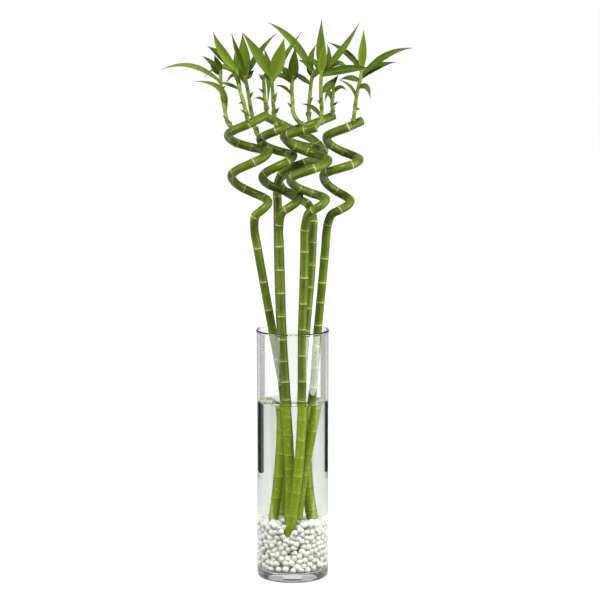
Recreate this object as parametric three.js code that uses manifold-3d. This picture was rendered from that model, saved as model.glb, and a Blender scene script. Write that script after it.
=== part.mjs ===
// Lucky bamboo: six curled canes standing in pebbles and water in a glass cylinder vase.
// Millimetres, +Z up. The origin is the middle of the vase's underside, and -Y is the front.
import * as THREE from 'three';
import { mergeVertices } from 'three/addons/utils/BufferGeometryUtils.js';
import Module from 'manifold-3d';

const VASE_HEIGHT = 350;
const VASE_RADIUS = 50;
const VASE_WALL = 3.5;
const VASE_FLOOR = 13;
const VASE_SIDES = 40;
const WATER_LEVEL = 249;
const FILL_RADIUS = 46.2; // what fills the vase stands 0.3 clear of the glass
const BED_SIDE = 86; // pebble bed's height along the glass
const BED_DIP = 18; // how far it sinks in front of the canes
const PEBBLE = 8; // half a pebble's length
const CANE_RADIUS = 6.1;
const CANE_SIDES = 8;
const LOW_HEIGHTS = [34, 140, 249, 347, 430]; // foot, in the water, its surface, rim, above it
const LEAN_END = 12; // a cane's lean ends this far below its first turn
const CURL_DEPTH = 26; // how far a curl's half turn comes forward at most
const NODE_STEP = 0.35; // the shoulder at each node of a cane
const CLEAR = 0.3; // gap between solids that touch
const STEM_TOP = 2.4; // a shoot's stem radius at its top
const BLADE = 0.7; // a leaf's mean thickness, twice as much at its midrib

const wasm = await Module();
wasm.setup();

// A closed geometry as a solid that faces outward.
function solid(geometry) {
  const bare = geometry.clone();
  bare.deleteAttribute('normal');
  bare.deleteAttribute('uv');
  const merged = mergeVertices(bare, 1e-4);
  const points = merged.attributes.position.array;
  const index = merged.index.array;
  const faces = [];
  let volume = 0;
  const p = new THREE.Vector3();
  const q = new THREE.Vector3();
  const r = new THREE.Vector3();
  for (let i = 0; i < index.length; i += 3) {
    const [a, b, c] = [index[i], index[i + 1], index[i + 2]];
    if (a === b || b === c || c === a) continue;
    faces.push([a, b, c]);
    p.fromArray(points, 3 * a);
    q.fromArray(points, 3 * b);
    r.fromArray(points, 3 * c);
    volume += p.dot(q.cross(r));
  }
  if (volume < 0) faces.forEach((face) => face.reverse());
  return new wasm.Manifold(new wasm.Mesh({
    numProp: 3,
    vertProperties: Float32Array.from(points),
    triVerts: Uint32Array.from(faces.flat()),
  }));
}

// The largest body of a solid, as a geometry.
function geometryOf(body) {
  const parts = body.decompose().sort((a, b) => b.volume() - a.volume());
  const mesh = parts[0].getMesh();
  const geometry = new THREE.BufferGeometry();
  geometry.setAttribute('position', new THREE.BufferAttribute(mesh.vertProperties, 3));
  geometry.setIndex(new THREE.BufferAttribute(mesh.triVerts, 1));
  geometry.computeVertexNormals();
  return geometry;
}

// A turned solid from a profile of [radius, height], with +Z as its axis.
function turned(profile, sides = VASE_SIDES) {
  const points = profile.map(([r, z]) => new THREE.Vector2(r, z));
  return new THREE.LatheGeometry(points, sides).rotateX(Math.PI / 2);
}

// A closed skin over rings of equally many points. Each end is a fan from its second point.
function skin(rings) {
  const n = rings[0].length;
  const points = rings.flat().flatMap((v) => [v.x, v.y, v.z]);
  const index = [];
  for (let i = 0; i + 1 < rings.length; i += 1) {
    for (let j = 0; j < n; j += 1) {
      const a = i * n + j;
      const b = i * n + (j + 1) % n;
      index.push(a, b, b + n, a, b + n, a + n);
    }
  }
  const top = (rings.length - 1) * n;
  for (let j = 2; j <= n - 1; j += 1) {
    const next = (j + 1) % n;
    index.push(1, next, j, top + 1, top + j, top + next);
  }
  const geometry = new THREE.BufferGeometry();
  geometry.setAttribute('position', new THREE.Float32BufferAttribute(points, 3));
  geometry.setIndex(index);
  return geometry;
}

// A round rod along stations of { at, along, radius }, its rings turned as little as possible.
function rod(stations, sides) {
  const side = new THREE.Vector3(1, 0, 0);
  const rings = stations.map(({ at, along, radius }) => {
    side.addScaledVector(along, -side.dot(along)).normalize();
    const other = new THREE.Vector3().crossVectors(along, side);
    return Array.from({ length: sides }, (_, j) => {
      const turn = 2 * Math.PI * (j + 0.5) / sides;
      return at.clone()
        .addScaledVector(side, radius * Math.cos(turn))
        .addScaledVector(other, radius * Math.sin(turn));
    });
  });
  return skin(rings);
}

// How far the pebble bed's surface lies below BED_SIDE.
function dip(x, y) {
  const hollow = BED_DIP * Math.exp(-((x + 4) ** 2) / 110 - (y + 36) ** 2 / 420);
  return hollow + 2 * Math.sin(x / 17 + y / 23); // and gentle waves
}

// Seeded draws between 0 and 1.
function draws(seed) {
  let state = seed;
  return () => {
    state = (state * 1664525 + 1013904223) % 4294967296;
    return state / 4294967296;
  };
}

// Vase: a straight glass cylinder with a thick base and a rounded, slightly beaded rim.
const vase = turned([
  [0, 0], [43, 0], [47.5, 2], [VASE_RADIUS, 7], [VASE_RADIUS, VASE_HEIGHT - 5],
  [VASE_RADIUS + 1, VASE_HEIGHT - 2.5], [VASE_RADIUS, VASE_HEIGHT],
  [VASE_RADIUS - VASE_WALL + 0.5, VASE_HEIGHT - 0.5],
  [VASE_RADIUS - VASE_WALL, VASE_HEIGHT - 3], [VASE_RADIUS - VASE_WALL, VASE_FLOOR + 7],
  [VASE_RADIUS - VASE_WALL - 2, VASE_FLOOR + 2], [VASE_RADIUS - VASE_WALL - 7, VASE_FLOOR],
  [0, VASE_FLOOR],
]);

// Canes: each leans up from its foot to its first turn and then curls from turn to turn. low is
// where it stands at LOW_HEIGHTS. turns are the outermost points of the curl. last is how much
// of the last half turn is left. nodes are lengths along the cane.
const CANES = {
  a: {
    low: [[-30, -14], [-16, -10], [-12, -3], [-27.5, -6], [-42, -12]],
    last: 0.8,
    turns: [[-54, -20, 501], [-33, -22, 529], [-83, -24, 564], [-33, -31, 598], [-87, -34, 620],
      [-32, -36, 655]],
    nodes: [24, 52, 82, 112, 144, 176, 208, 242, 278, 312, 348, 388, 436, 484, 526, 566, 620, 653,
      688, 723, 747, 784, 820],
  },
  b: {
    low: [[-8, 26], [-6, 23], [-9.5, 25], [-16.5, 27], [-19.5, 29]],
    last: 0.85,
    turns: [[-21, 36, 557], [44, 36, 594], [-12, 34, 614], [61, 30, 649]],
    nodes: [26, 56, 88, 120, 150, 180, 212, 244, 276, 308, 340, 372, 404, 437, 469, 497, 538, 574,
      612, 648, 684, 716, 748, 776],
  },
  c: {
    low: [[-5, -15], [-3, -19], [-8, -21], [-14, -21], [-16.5, -20]],
    last: 0.72,
    turns: [[-19, -18, 505], [9, -10, 534], [-41, -10, 561], [1, -7, 591], [-44, -3, 612],
      [2, 0, 640]],
    nodes: [24, 58, 92, 124, 144, 172, 197, 222, 247, 276, 306, 338, 370, 402, 434, 465, 490, 525,
      559, 592, 624, 658, 696, 735, 772, 790],
  },
  d: {
    low: [[-9.5, -34], [5.5, -31], [12, -25], [13, -23], [15.5, -24.5]],
    last: 0.56,
    turns: [[17, -27, 505], [45, -35, 534], [-3, -40, 561], [48, -42, 587], [-10, -42, 619],
      [61, -42, 645]],
    nodes: [28, 60, 93, 116, 142, 166, 195, 222, 249, 285, 321, 357, 393, 429, 459, 496, 525, 553,
      575, 620, 654, 692, 731, 753, 798, 820],
  },
  e: {
    low: [[27, 3], [13.5, 10], [13, 18], [19, 23], [26, 36.5]],
    last: 0.8,
    turns: [[29, 56, 509], [-19, 72, 548], [43, 76, 588], [-51, 78, 651]],
    nodes: [30, 62, 94, 126, 158, 190, 222, 252, 282, 312, 343, 372, 403, 435, 464, 500, 536, 572,
      608, 644, 680, 712, 742],
  },
  f: {
    low: [[0, 5], [10, -5], [26.5, -4], [34.5, -2], [42, -5]],
    last: 0.78,
    turns: [[48, -12, 503], [79, -13, 529], [42, -14, 564], [91, -16, 586], [46, -17, 616],
      [100, -18, 647]],
    nodes: [26, 54, 84, 114, 144, 176, 208, 238, 266, 296, 325, 357, 385, 419, 470, 501, 557, 583,
      615, 649, 680, 709, 733, 758, 798],
  },
};

// The point at height z of a smooth line through the knots.
function standingAt(knots, z) {
  const i = knots.findLastIndex((knot, k) => k + 1 < knots.length && knot.z <= z);
  const [start, end] = [knots[i], knots[i + 1]];
  const before = knots[Math.max(0, i - 1)];
  const after = knots[Math.min(knots.length - 1, i + 2)];
  const rise = end.z - start.z;
  const leanIn = end.clone().sub(before).multiplyScalar(rise / (end.z - before.z));
  const leanOut = after.clone().sub(start).multiplyScalar(rise / (after.z - start.z));
  const t = (z - start.z) / rise;
  return start.clone().multiplyScalar(2 * t ** 3 - 3 * t ** 2 + 1)
    .addScaledVector(leanIn, t ** 3 - 2 * t ** 2 + t)
    .addScaledVector(end, 3 * t ** 2 - 2 * t ** 3)
    .addScaledVector(leanOut, t ** 3 - t ** 2);
}

// A cane's centre line.
function caneLine({ low, turns, last }) {
  const knots = low.map(([x, y], i) => new THREE.Vector3(x, y, LOW_HEIGHTS[i]));
  knots.push(new THREE.Vector3(...turns[0]));
  const foot = LOW_HEIGHTS[0];
  const high = turns[0][2] - LEAN_END;
  const steps = Math.round((high - foot) / 25);
  const points = Array.from({ length: steps + 1 }, (_, i) => (
    standingAt(knots, foot + (high - foot) * i / steps)));
  for (let i = 0; i + 1 < turns.length; i += 1) {
    const [ax, ay, az] = turns[i];
    const [bx, by, bz] = turns[i + 1];
    const half = (bx - ax) / 2;
    const deep = Math.sign(half) * Math.min(Math.abs(half), CURL_DEPTH);
    const ends = i + 2 === turns.length;
    const stop = ends ? last : 1;
    const lift = half > 0 ? 2 : -6;
    for (const u of [0.25, 0.5, 0.75, 1].filter((v) => v < stop - 0.1).concat(stop)) {
      points.push(new THREE.Vector3(
        (ax + bx) / 2 - half * Math.cos(Math.PI * u),
        ay + (by - ay) * u - deep * Math.sin(Math.PI * u),
        az + (bz - az) * u + (ends ? 0 : lift * Math.sin(Math.PI * u)),
      ));
    }
  }
  return new THREE.CatmullRomCurve3(points, false, 'catmullrom', 0.5);
}

// A cane's solid. With grow it is thicker and longer, to cut its neighbours clear of it.
function cane(spec, grow = 0) {
  const line = caneLine(spec);
  line.arcLengthDivisions = 1200;
  const length = line.getLength();
  const curl = spec.turns[0][2] - 50; // the curl starts at this length
  const stops = [{ s: 0, radius: CANE_RADIUS }];
  spec.nodes.filter((s) => s < length - 6).forEach((s) => {
    stops.push({ s: s - 0.5, radius: CANE_RADIUS + NODE_STEP }, { s: s + 0.7, radius: CANE_RADIUS });
  });
  stops.push({ s: length, radius: CANE_RADIUS });
  const full = [];
  stops.forEach((stop, i) => {
    full.push(stop);
    const next = stops[i + 1];
    if (!next || next.s < curl) return;
    const parts = Math.max(1, Math.round((next.s - stop.s) / 15));
    for (let k = 1; k < parts; k += 1) {
      full.push({ s: stop.s + (next.s - stop.s) * k / parts, radius: CANE_RADIUS });
    }
  });
  const stations = full.map(({ s, radius }) => ({
    at: line.getPointAt(s / length),
    along: line.getTangentAt(s / length),
    radius: radius + grow,
  }));
  stations[0].at.addScaledVector(stations[0].along, -grow);
  stations.at(-1).at.addScaledVector(stations.at(-1).along, grow);
  return solid(rod(stations, CANE_SIDES));
}

const bores = {};
for (const [key, spec] of Object.entries(CANES)) bores[key] = cane(spec, CLEAR + 0.05);
const allBores = Object.values(bores).reduce((sum, bore) => sum.add(bore));

// Pebbles: one bed of rounded stones over a core, as high as they lie at the glass.
const jar = solid(turned([
  [0, VASE_FLOOR + CLEAR], [39.2, VASE_FLOOR + CLEAR], [44.2, VASE_FLOOR + 2.4],
  [FILL_RADIUS, VASE_FLOOR + 7], [FILL_RADIUS, 110], [0, 110],
]));
const coreShape = turned([
  [0, VASE_FLOOR + CLEAR], [39, VASE_FLOOR + CLEAR], [41.5, 17], [41.5, BED_SIDE - 6],
  [26, BED_SIDE - 6], [12, BED_SIDE - 6], [0, BED_SIDE - 6],
], 16);
const corePoints = coreShape.attributes.position;
for (let i = 0; i < corePoints.count; i += 1) {
  const height = corePoints.getZ(i);
  if (height > 50) corePoints.setZ(i, height - dip(corePoints.getX(i), corePoints.getY(i)));
}
const draw = draws(7);
const stones = [];
function stone(x, y, z) {
  const shape = new THREE.IcosahedronGeometry(1, 0);
  shape.scale(PEBBLE * (0.85 + 0.15 * draw()), PEBBLE * (0.75 + 0.2 * draw()), PEBBLE * 0.7);
  const tip = new THREE.Euler(0.5 * draw() - 0.25, 0.5 * draw() - 0.25, Math.PI * draw());
  shape.applyMatrix4(new THREE.Matrix4().makeRotationFromEuler(tip));
  shape.translate(x, y, z);
  stones.push(solid(shape));
}
for (let row = 0; row < 5; row += 1) {
  for (let k = 0; k < 13; k += 1) {
    const turn = 2 * Math.PI * (k + 0.5 * (row % 2) + 0.2 * draw()) / 13;
    const [x, y] = [38 * Math.cos(turn), 38 * Math.sin(turn)];
    const low = VASE_FLOOR + 6;
    const high = BED_SIDE - 5 - dip(x, y);
    stone(x, y, low + (high - low) * row / 4 + 1.5 * draw());
  }
}
for (const [reach, count] of [[24, 8], [8, 3]]) {
  for (let k = 0; k < count; k += 1) {
    const turn = 2 * Math.PI * (k + 0.4 * draw()) / count;
    const [x, y] = [reach * Math.cos(turn), reach * Math.sin(turn)];
    stone(x, y, BED_SIDE - 5.5 - dip(x, y) + 1.5 * draw());
  }
}
const bed = stones.reduce((sum, body) => sum.add(body), solid(coreShape))
  .intersect(jar).subtract(allBores);

// Water: it fills the vase from the pebbles up and climbs a little at the glass. Its underside
// sinks half as far as the bed's hollow.
const waterShape = turned([
  [0, BED_SIDE + 3.5], [15, BED_SIDE + 3.5], [30, BED_SIDE + 3.5], [FILL_RADIUS, BED_SIDE + 3.5],
  [FILL_RADIUS, WATER_LEVEL + 1.5], [FILL_RADIUS - 2, WATER_LEVEL], [0, WATER_LEVEL],
]);
const waterPoints = waterShape.attributes.position;
for (let i = 0; i < waterPoints.count; i += 1) {
  const height = waterPoints.getZ(i);
  const hollow = dip(waterPoints.getX(i), waterPoints.getY(i));
  if (height < 100) waterPoints.setZ(i, height - hollow / 2);
}
const water = solid(waterShape).subtract(allBores);

// Leafy shoots: each stem starts on a cane's centre line and is cut clear of the cane. A leaf
// leaves the stem at height at and its tip lies [x, y, z] further. bend is how far its middle
// stands off the straight way there, sideways and up. roll turns its upper face from up (0) to
// the front (90).
const SHOOTS = {
  a1: {
    on: 'a',
    stem: [[-77, -54, 629], [-87, -58, 640], [-91, -60, 659], [-94, -60, 675], [-96, -58, 694],
      [-96, -56, 710]],
    leaves: [
      { at: 692, to: [-80, -8, 18], bend: [0, 14], wide: 7, roll: 67 },
      { at: 656, to: [-42, -14, 40], bend: [13, 10], wide: 8, roll: 68 },
      { at: 708, to: [-26, 14, 22], bend: [0, 2], wide: 7, roll: 62 },
      { at: 709, to: [-8, -16, 26], bend: [-1, 2], wide: 7, roll: 68 },
      { at: 682, to: [6, -4, 8], wide: 4, roll: 50 },
      { at: 666, to: [7, -4, 8], wide: 4, roll: 50 },
      { at: 643, to: [-6, -4, 7], wide: 5, roll: 50 },
    ],
  },
  a2: {
    on: 'a',
    stem: [[-59, -61, 637], [-61, -70, 649], [-65, -72, 667], [-70, -72, 683], [-73, -71, 697],
      [-75, -69, 712]],
    leaves: [
      { at: 709, to: [-40, 14, 32], bend: [0, 3], wide: 13, roll: 65 },
      { at: 710, to: [-31, -16, 53], bend: [-4, 0], wide: 12, roll: 68 },
      { at: 708, to: [-2, 18, 28], wide: 7, roll: 68 },
      { at: 683, to: [-20, -12, 9], bend: [2, 16], wide: 7, roll: 57 },
      { at: 684, to: [-31, 6, 10], bend: [0, 2], wide: 5, roll: 60 },
      { at: 663, to: [-9, -4, 3], bend: [0, 3], wide: 4, roll: 50 },
      { at: 651, to: [-9, -4, 7], wide: 4, roll: 50 },
    ],
  },
  c1: {
    on: 'c',
    stem: [[-44, -4, 613], [-50, 4, 623], [-54, 6, 638], [-58, 2, 660], [-61, -2, 680],
      [-65, -4, 699]],
    leaves: [
      { at: 697, to: [-19, -12, 61], wide: 8, roll: 67 },
      { at: 697, to: [-4, 10, 60], wide: 17, roll: 83 },
      { at: 694, to: [43, 16, 62], bend: [-3, 3], wide: 8, roll: 57 },
      { at: 685, to: [-60, 10, 11], bend: [0, 20], wide: 9, roll: 52 },
      { at: 668, to: [7, -5, 9], wide: 5, roll: 50 },
    ],
  },
  c2: {
    on: 'c',
    stem: [[-21, -25, 626], [-24, -33, 644], [-26, -33, 663], [-27, -31, 682], [-28, -29, 699]],
    leaves: [
      { at: 697, to: [-40, -12, 63], bend: [0, 2], wide: 14, roll: 68 },
      { at: 697, to: [-11, 14, 41], wide: 8, roll: 52 },
      { at: 696, to: [17, -14, 57], bend: [2, 0], wide: 19, roll: 85 },
      { at: 697, to: [41, 18, 64], bend: [-2, 0], wide: 7, roll: 57 },
      { at: 662, to: [6, -5, 18], bend: [-1, 0], wide: 6, roll: 68 },
      { at: 648, to: [8, -4, 10], wide: 5, roll: 50 },
    ],
  },
  e1: {
    on: 'e',
    stem: [[-36, 95, 635], [-37, 99, 648], [-39, 103, 662], [-40, 105, 679], [-41, 105, 695]],
    leaves: [
      { at: 690, to: [6, -18, -36], bend: [4, 18], wide: 8, roll: 78 },
      { at: 656, to: [-16, -8, 6], bend: [0, 3], wide: 5, roll: 50 },
      { at: 668, to: [-9, -4, 9], wide: 4, roll: 50 },
      { at: 686, to: [-8, -2, 10], wide: 5, roll: 50 },
    ],
  },
  b1: {
    on: 'b',
    stem: [[19, 6, 630], [9, -2, 636], [1, -4, 649], [0, -2, 666], [-1, 0, 682], [1, 0, 699]],
    thick: 3.4,
    leaves: [
      { at: 692, to: [4, -10, 46], wide: 14, roll: 83 },
      { at: 687, to: [-26, 6, 8], bend: [0, 7], wide: 9, roll: 62 },
      { at: 696, to: [-19, 18, 18], wide: 10, roll: 62 },
      { at: 697, to: [9, 8, 16], wide: 7, roll: 62 },
      { at: 671, to: [-24, -6, 14], bend: [0, 5], wide: 5, roll: 50 },
      { at: 655, to: [-8, -4, 9], wide: 4, roll: 50 },
    ],
  },
  b2: {
    on: 'b',
    stem: [[24, 6, 632], [22, 12, 645], [23, 14, 662], [25, 14, 684], [28, 12, 706]],
    leaves: [
      { at: 703, to: [-61, -22, 69], bend: [2, 9], wide: 11, roll: 67 },
      { at: 699, to: [-21, -8, 22], bend: [4, 3], wide: 9, roll: 52 },
      { at: 700, to: [6, 15, 40], bend: [-5, 0], wide: 9, roll: 67 },
      { at: 686, to: [-30, 14, 20], wide: 7, roll: 62 },
      { at: 690, to: [5, -6, 14], wide: 5, roll: 50 },
      { at: 660, to: [6, -5, 9], wide: 4, roll: 50 },
    ],
  },
  b3: {
    on: 'b',
    stem: [[52, 16, 642], [55, 10, 649], [54, 8, 661], [56, 8, 676], [56, 8, 690]],
    leaves: [
      { at: 674, to: [19, -6, 5], bend: [0, 7], wide: 6, roll: 62 },
      { at: 662, to: [-11, -8, 1], bend: [0, 13], wide: 7, roll: 78 },
      { at: 657, to: [9, -4, 7], wide: 4, roll: 50 },
      { at: 688, to: [3, 5, 12], wide: 5, roll: 60 },
    ],
  },
  d1: {
    on: 'd',
    stem: [[30, -67, 633], [37, -65, 641], [39, -67, 657], [38, -69, 677], [38, -69, 697],
      [39, -69, 710]],
    leaves: [
      { at: 707, to: [0, -8, 71], bend: [-1, 0], wide: 12, roll: 68 },
      { at: 705, to: [5, -18, 43], bend: [-1, 0], wide: 12, roll: 88 },
      { at: 707, to: [51, 4, 67], bend: [3, -2], wide: 9, roll: 62 },
      { at: 706, to: [8, 20, 40], bend: [6, -2], wide: 8, roll: 62 },
      { at: 703, to: [69, -16, 10], bend: [0, 4], wide: 12, roll: 67 },
      { at: 705, to: [38, 12, 6], bend: [2, 12], wide: 9, roll: 57 },
      { at: 681, to: [24, 8, 23], bend: [2, -1], wide: 11, roll: 68 },
      { at: 647, to: [-27, -6, 19], bend: [1, 4], wide: 6, roll: 67 },
      { at: 664, to: [-7, -4, 8], wide: 4, roll: 50 },
    ],
  },
  f1: {
    on: 'f',
    stem: [[80, -42, 634], [82, -48, 642], [84, -50, 660], [87, -50, 680], [91, -48, 697],
      [93, -46, 711]],
    leaves: [
      { at: 708, to: [-46, -8, 39], bend: [2, 5], wide: 8, roll: 67 },
      { at: 708, to: [3, -10, 56], wide: 11, roll: 68 },
      { at: 700, to: [70, -14, 40], bend: [-1, 9], wide: 9, roll: 68 },
      { at: 697, to: [49, 14, 22], bend: [-2, 5], wide: 10, roll: 67 },
      { at: 684, to: [17, -10, -13], bend: [3, 9], wide: 8, roll: 68 },
      { at: 694, to: [-28, -10, 3], bend: [0, 3], wide: 8, roll: 67 },
      { at: 670, to: [-25, -10, 27], bend: [4, 4], wide: 5, roll: 50 },
      { at: 656, to: [8, -4, 1], wide: 4, roll: 50 },
    ],
  },
};

// A leaf: a long blade folded along its middle, widest near its half length.
function blade(root, { to, bend = [0, 0], wide, roll }) {
  const tip = root.clone().add(new THREE.Vector3(...to));
  const mid = root.clone().add(tip).multiplyScalar(0.5);
  mid.add(new THREE.Vector3(2 * bend[0], 0, 2 * bend[1]));
  const line = new THREE.QuadraticBezierCurve3(root, mid, tip);
  const turn = THREE.MathUtils.degToRad(roll);
  const small = wide <= 5;
  const widths = small
    ? [[0, 0.6], [0.5, 1], [1, 0.12]]
    : [[0, 0.44], [0.3, 0.98], [0.62, 0.82], [1, 0.06]];
  return skin(widths.map(([t, share]) => {
    const at = line.getPoint(t);
    const along = line.getTangent(t);
    const up = new THREE.Vector3(0, -Math.sin(turn), Math.cos(turn));
    up.addScaledVector(along, -up.dot(along)).normalize();
    const side = new THREE.Vector3().crossVectors(along, up);
    const half = Math.max(0.4, share * wide / 2);
    return [[1, 0.35 * half], [0, 0], [-1, 0.35 * half], [0, -2 * BLADE]].map(([s, h]) => (
      at.clone().addScaledVector(side, s * half).addScaledVector(up, h)));
  }));
}

// A stem with its leaves, cut clear of its cane.
function shoot({ on, stem, leaves, thick = 3 }) {
  const line = new THREE.CatmullRomCurve3(stem.map((p) => new THREE.Vector3(...p)));
  const stations = Array.from({ length: 9 }, (_, i) => ({
    at: line.getPointAt(i / 8),
    along: line.getTangentAt(i / 8),
    radius: thick + (STEM_TOP - thick) * i / 8,
  }));
  const samples = line.getPoints(200);
  let body = solid(rod(stations, 6));
  leaves.forEach((leaf, i) => {
    const height = Math.min(leaf.at, stem.at(-1)[2] - 2.6 - 0.7 * i);
    const root = samples.reduce((best, v) => (
      Math.abs(v.z - height) < Math.abs(best.z - height) ? v : best)).clone();
    // The leaf starts 0.9 behind the stem's middle.
    root.addScaledVector(new THREE.Vector3(leaf.to[0], leaf.to[1], 0).normalize(), -0.9);
    body = body.add(solid(blade(root, leaf)));
  });
  return body.subtract(bores[on]);
}

const glass = { color: 0xe6efec, roughness: 0.05, transparent: true, opacity: 0.3 };
const wet = { color: 0xdce8dc, roughness: 0.05, transparent: true, opacity: 0.3 };
const group = new THREE.Group();
function piece(name, geometry, material) {
  const mesh = new THREE.Mesh(geometry, new THREE.MeshStandardMaterial({ metalness: 0, ...material }));
  mesh.name = name;
  group.add(mesh);
}

piece('vase', geometryOf(solid(vase)), glass);
piece('water', geometryOf(water), wet);
piece('pebbles', geometryOf(bed), { color: 0xe4ddcd, roughness: 0.6 });
for (const [key, spec] of Object.entries(CANES)) {
  piece(`cane_${key}`, geometryOf(cane(spec)), { color: 0x6f9a3a, roughness: 0.45 });
}
for (const [key, spec] of Object.entries(SHOOTS)) {
  piece(`shoot_${key}`, geometryOf(shoot(spec)), { color: 0x4c7d1e, roughness: 0.45 });
}

export default group;
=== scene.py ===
import bpy
import math
import random
from mathutils import Euler, Matrix, Vector


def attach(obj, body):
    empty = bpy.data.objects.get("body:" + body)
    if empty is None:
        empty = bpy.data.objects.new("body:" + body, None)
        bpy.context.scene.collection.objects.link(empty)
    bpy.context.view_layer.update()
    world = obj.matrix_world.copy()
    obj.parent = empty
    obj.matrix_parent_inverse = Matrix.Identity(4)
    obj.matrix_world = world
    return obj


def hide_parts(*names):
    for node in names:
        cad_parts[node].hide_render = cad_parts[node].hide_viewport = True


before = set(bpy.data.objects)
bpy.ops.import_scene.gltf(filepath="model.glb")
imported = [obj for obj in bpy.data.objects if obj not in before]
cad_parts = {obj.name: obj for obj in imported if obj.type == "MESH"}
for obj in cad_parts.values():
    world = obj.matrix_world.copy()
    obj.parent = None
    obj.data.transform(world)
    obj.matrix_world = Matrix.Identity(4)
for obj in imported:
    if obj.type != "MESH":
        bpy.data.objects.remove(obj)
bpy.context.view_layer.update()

# ---------------------------------------------------------------------------------------------
# Vase. A straight florist's cylinder of clear glass, blown in a mould, with a thick base, a
# rounded heel and a fire-polished rim. It stands on its flat underside.
# ---------------------------------------------------------------------------------------------
VASE_HEIGHT = 0.350
VASE_RADIUS = 0.050
VASE_WALL = 0.0035
VASE_FLOOR = 0.013
HEEL_ROUND = 0.0068
FLOOR_ROUND = 0.0055
RIM_ROUND = 0.0016
BEAD = 1.018
BEAD_DEPTH = 0.0030
PAST_ROUNDING = 0.0006
ROUND_STEPS = 256
NEAR = 0.0002


def only(piece):
    """Makes piece the one selected and active object."""
    bpy.ops.object.select_all(action="DESELECT")
    piece.select_set(True)
    bpy.context.view_layer.objects.active = piece


def edit_where(piece, part, test):
    """Goes into edit mode with the faces, edges or vertices selected whose middle passes test."""
    only(piece)
    bpy.ops.object.mode_set(mode="EDIT")
    kinds = {"faces": "FACE", "edges": "EDGE", "vertices": "VERT"}
    bpy.ops.mesh.select_mode(type=kinds[part])
    bpy.ops.mesh.select_all(action="DESELECT")
    bpy.ops.object.mode_set(mode="OBJECT")
    mesh = piece.data
    if part == "faces":
        for face in mesh.polygons:
            face.select = test(face.center)
    elif part == "edges":
        for edge in mesh.edges:
            a, b = (mesh.vertices[i].co for i in edge.vertices)
            edge.select = test((a + b) / 2)
    else:
        for vertex in mesh.vertices:
            vertex.select = test(vertex.co)
    bpy.ops.object.mode_set(mode="EDIT")


def from_axis(co):
    """How far a place is from the vase's own axis."""
    return math.hypot(co.x, co.y)


def rounded_edge(piece, radius, height, size, steps):
    """Bevels the circle of edges at that radius and height."""
    edit_where(piece, "edges", lambda c: abs(from_axis(c) - radius) < 2 * NEAR
               and abs(c.z - height) < NEAR)
    bpy.ops.mesh.bevel(offset=size, segments=steps, affect="EDGES")
    bpy.ops.object.mode_set(mode="OBJECT")


def ring_cut(piece, height):
    """Cuts a loop of edges right round, so that the wall beyond it shades dead straight."""
    only(piece)
    bpy.ops.object.mode_set(mode="EDIT")
    bpy.ops.mesh.select_mode(type="FACE")
    bpy.ops.mesh.select_all(action="SELECT")
    bpy.ops.mesh.bisect(plane_co=(0, 0, height), plane_no=(0, 0, 1))
    bpy.ops.object.mode_set(mode="OBJECT")


def material(name):
    """A new node material, its shader node and its node and link makers."""
    made = bpy.data.materials.new(name)
    made.use_nodes = True
    shader = made.node_tree.nodes["Principled BSDF"]
    return made, shader, made.node_tree.nodes.new, made.node_tree.links.new


bpy.ops.object.select_all(action="DESELECT")
bpy.ops.mesh.primitive_cylinder_add(vertices=ROUND_STEPS, radius=VASE_RADIUS,
                                    depth=VASE_HEIGHT, location=(0, 0, VASE_HEIGHT / 2))
vase = bpy.context.object
vase.name = "glass_vase"
bpy.ops.object.transform_apply(location=True, rotation=False, scale=False)
edit_where(vase, "faces", lambda c: c.z > VASE_HEIGHT - NEAR)
bpy.ops.mesh.inset(thickness=VASE_WALL)
bpy.ops.mesh.extrude_region_move(
    TRANSFORM_OT_translate={"value": (0, 0, VASE_FLOOR - VASE_HEIGHT)})
bpy.ops.object.mode_set(mode="OBJECT")
inner = VASE_RADIUS - VASE_WALL
rounded_edge(vase, VASE_RADIUS, 0, HEEL_ROUND, 8)
rounded_edge(vase, inner, VASE_FLOOR, FLOOR_ROUND, 6)
rounded_edge(vase, VASE_RADIUS, VASE_HEIGHT, RIM_ROUND, 4)
rounded_edge(vase, inner, VASE_HEIGHT, RIM_ROUND, 4)
under_bead = VASE_HEIGHT - BEAD_DEPTH
for height in (HEEL_ROUND + PAST_ROUNDING, VASE_FLOOR + FLOOR_ROUND + PAST_ROUNDING,
               under_bead - 0.0004, under_bead - 0.0010):
    ring_cut(vase, height)
edit_where(vase, "vertices", lambda c: c.z > under_bead)
bpy.ops.transform.resize(value=(BEAD, BEAD, 1))
bpy.ops.object.mode_set(mode="OBJECT")
bpy.ops.object.shade_smooth_by_angle(angle=math.radians(35))

glass, shader, add, link = material("clear_glass")
shader.inputs["Base Color"].default_value = (0.975, 0.983, 0.975, 1)
shader.inputs["Roughness"].default_value = 0.0
shader.inputs["IOR"].default_value = 1.5
shader.inputs["Transmission Weight"].default_value = 1.0
vase.data.materials.append(glass)
vase.visible_shadow = False
vase.visible_diffuse = False
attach(vase, "root")
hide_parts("vase")

# ---------------------------------------------------------------------------------------------
# Water. It fills the vase from its floor, between the pebbles, to about two thirds. Its surface
# climbs the glass a little, and its sides lie right against the glass.
# ---------------------------------------------------------------------------------------------
WATER_LEVEL = 0.249
MENISCUS = 0.0015
MENISCUS_WIDTH = 0.003
INTO_GLASS = 0.00005

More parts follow.
